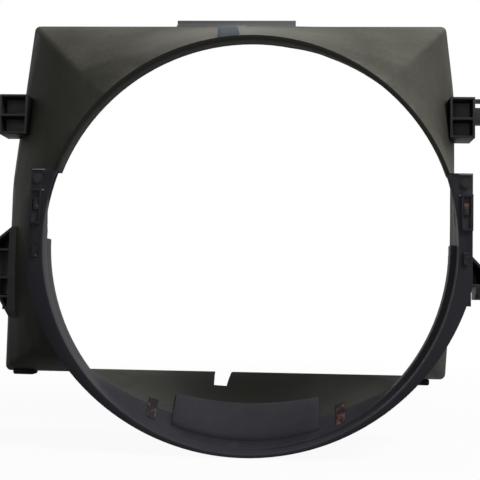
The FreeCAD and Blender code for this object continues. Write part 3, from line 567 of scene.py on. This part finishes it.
def stained_steel(name, base, rust_colour, rust, rough):
    """Thin steel with patches of rust."""
    material = bpy.data.materials.new(name)
    material.use_nodes = True
    tree = material.node_tree
    shader = tree.nodes["Principled BSDF"]
    patches = noise(tree, RUST_SCALE, detail=6.0, roughness=0.65)
    ramp = tree.nodes.new("ShaderNodeMapRange")
    ramp.inputs["From Min"].default_value = RUST_STARTS - rust
    ramp.inputs["From Max"].default_value = RUST_FULL - rust
    tree.links.new(patches, ramp.inputs["Value"])
    tree.links.new(mixed(tree, ramp.outputs["Result"], base, rust_colour),
                   shader.inputs["Base Color"])
    metal = tree.nodes.new("ShaderNodeMapRange")
    metal.inputs["To Min"].default_value = 1.0
    metal.inputs["To Max"].default_value = RUST_METALLIC
    tree.links.new(ramp.outputs["Result"], metal.inputs["Value"])
    tree.links.new(metal.outputs["Result"], shader.inputs["Metallic"])
    shader.inputs["Roughness"].default_value = rough
    print("metal", name)
    return material


spring_steel = stained_steel("spring_steel", base=(0.020, 0.019, 0.021, 1.0),
                             rust_colour=(0.085, 0.028, 0.021, 1.0), rust=0.12, rough=0.65)
bare_steel = stained_steel("bare_steel", base=(0.55, 0.55, 0.54, 1.0),
                           rust_colour=(0.22, 0.15, 0.10, 1.0), rust=0.05, rough=0.4)

# %% Match finishes to slots
FINISHES = {
    "dusty_plastic": dusty_plastic,
    "grey_plastic": grey_plastic,
    "black_plastic": black_plastic,
    "black_rubber": black_rubber,
    "spring_steel": spring_steel,
    "bare_steel": bare_steel,
}
# Two small pieces came from another mould and have faded in their own way.
OWN_FINISH = {"top_seal_strip": pale_strip, "harness_clip": harness_grey}
print(len(FINISHES), "finishes and", len(OWN_FINISH), "of one piece's own")

# %% [markdown]
# ## Softened copies of the moulded pieces
# A moulding leaves its tool with small rounds, while a solid model's edges are sharp and
# its curved walls are loose flat triangles.  The rounds could be modelled one by one.
# Here each larger moulding is copied instead, its triangles are joined into one skin, and
# its edges get a small bevel before smooth shading.  Clips, pins, grommets, sleeves and
# rivets are small enough to stay as they are.

# %% Copy and soften one node
MERGE_DISTANCE = 0.00002
FLAT_ANGLE = math.radians(2)
SKEW_ANGLE = math.radians(60)
BEVEL_ANGLE = math.radians(40)
BEVEL_STEPS = 2
EDGE_ANGLE = math.radians(32)


def softened(name, bevel):
    """A joined, bevelled and smoothly shaded copy of a CAD node."""
    source = frame["nodes"][name]
    copy = bpy.data.objects.new(name + "_skin", source.data.copy())
    bpy.context.scene.collection.objects.link(copy)
    bpy.ops.object.select_all(action="DESELECT")
    copy.select_set(True)
    bpy.context.view_layer.objects.active = copy
    bpy.ops.object.mode_set(mode="EDIT")
    bpy.ops.mesh.select_all(action="SELECT")
    bpy.ops.mesh.remove_doubles(threshold=MERGE_DISTANCE)
    bpy.ops.mesh.tris_convert_to_quads(face_threshold=FLAT_ANGLE, shape_threshold=SKEW_ANGLE)
    bpy.ops.object.mode_set(mode="OBJECT")
    rounding = copy.modifiers.new("rounding", "BEVEL")
    rounding.width = bevel
    rounding.segments = BEVEL_STEPS
    rounding.limit_method = "ANGLE"
    rounding.angle_limit = BEVEL_ANGLE
    rounding.use_clamp_overlap = True
    bpy.ops.object.modifier_apply(modifier="rounding")
    bpy.ops.object.shade_smooth_by_angle(angle=EDGE_ANGLE)
    return copy


# %% Dress every node
HALF_BEVEL = 0.0006
BRACKET_BEVEL = 0.0008
SMALL_BEVEL = 0.0005
BEVELS = {
    "upper_shroud": HALF_BEVEL,
    "lower_shroud": HALF_BEVEL,
    "upper_left_bracket": BRACKET_BEVEL,
    "upper_right_bracket": BRACKET_BEVEL,
    "lower_left_bracket": BRACKET_BEVEL,
    "lower_right_bracket": BRACKET_BEVEL,
    "top_seal_strip": SMALL_BEVEL,
    "harness_clip": SMALL_BEVEL,
    "bottom_left_foot": SMALL_BEVEL,
    "bottom_right_foot": SMALL_BEVEL,
}
body_of_node = {node: body for body, group in frame["record"]["behaviour"]["bodies"].items()
                for node in group}
slot_of_node = {part["node"]: part["material_slot"] for part in frame["record"]["subparts"]}
for name, obj in frame["nodes"].items():
    finish = OWN_FINISH.get(name, FINISHES[slot_of_node[name]])
    if name in BEVELS:
        skin = softened(name, BEVELS[name])
        skin.data.materials.clear()
        skin.data.materials.append(finish)
        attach(skin, body_of_node[name])
        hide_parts(name)
        print(name, len(skin.data.polygons), "faces")
    else:
        obj.data.materials.clear()
        obj.data.materials.append(finish)

# %% [markdown]
# ## Pale ledges on the arms
# Each arm has two small ledges that face up and catch the light: one along the arm's top
# and one over its upper window.  Pale lines in the arm's material would lie flat.  Each
# ledge is a thin bar here, so that it stands out from the arm and catches the light, and
# its pale colour is a painted highlight.

# %% Mould the ledges
LEDGE_HEIGHT = 0.0016
LEDGE_THICKNESS = 0.0012
LEDGE_ROUND = 0.0004
FRONT_TAPER = 0.94
# The ledges' pale colour is a painted highlight on their upward faces.
painted_highlight_edge = weathered_and_shaded_plastic(
    "painted_highlight_edge", base=(0.13, 0.13, 0.14, 1.0), dust_colour=(0.22, 0.22, 0.22, 1.0),
    grime_colour=(0.08, 0.08, 0.085, 1.0), dust=0.5, lean=0.2, grime=0.3, rough=0.6,
    grain=0.1)


def ledge(name, left, right, depth, height):
    """A thin bar with rounded edges and ends that taper towards its front."""
    bpy.ops.object.select_all(action="DESELECT")
    # No material reads a UV map, and the bevel would give this one other values on each run.
    bpy.ops.mesh.primitive_cube_add(size=1.0, calc_uvs=False)
    bar = bpy.context.object
    bar.name = name
    bar.scale = (right - left, LEDGE_THICKNESS, LEDGE_HEIGHT)
    middle = (left + right) / 2
    bar.location = (middle, depth, height)
    bpy.ops.object.transform_apply(location=True, rotation=False, scale=True)
    for corner in bar.data.vertices:
        if corner.co.y < depth:
            corner.co.x = middle + (corner.co.x - middle) * FRONT_TAPER
    rounding = bar.modifiers.new("rounding", "BEVEL")
    rounding.width = LEDGE_ROUND
    rounding.segments = BEVEL_STEPS
    bpy.ops.object.modifier_apply(modifier="rounding")
    bpy.ops.object.shade_smooth_by_angle(angle=EDGE_ANGLE)
    bar.data.materials.append(painted_highlight_edge)
    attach(bar, body_of_node["lower_shroud"])


ARM_FRONT = 0.0
WINDOW_MARGIN = 0.006
PIN_MARGIN = 0.004
ledge_depth = ARM_FRONT - LEDGE_THICKNESS / 2
arm_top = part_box("lower_shroud")[1][2]
for side in ("left", "right"):
    clip_low, clip_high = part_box(side + "_arm_latch_clip")
    pin_low, pin_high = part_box(side + "_push_pin")
    over_window = (clip_high[2] + pin_low[2]) / 2
    ledge(side + "_window_ledge", clip_low[0] - WINDOW_MARGIN, clip_high[0] + WINDOW_MARGIN,
          ledge_depth, over_window)
    ledge(side + "_top_ledge", pin_low[0] - PIN_MARGIN, pin_high[0] + PIN_MARGIN,
          ledge_depth, arm_top - LEDGE_HEIGHT)
    print(side, "window ledge at height", round(over_window, 4))
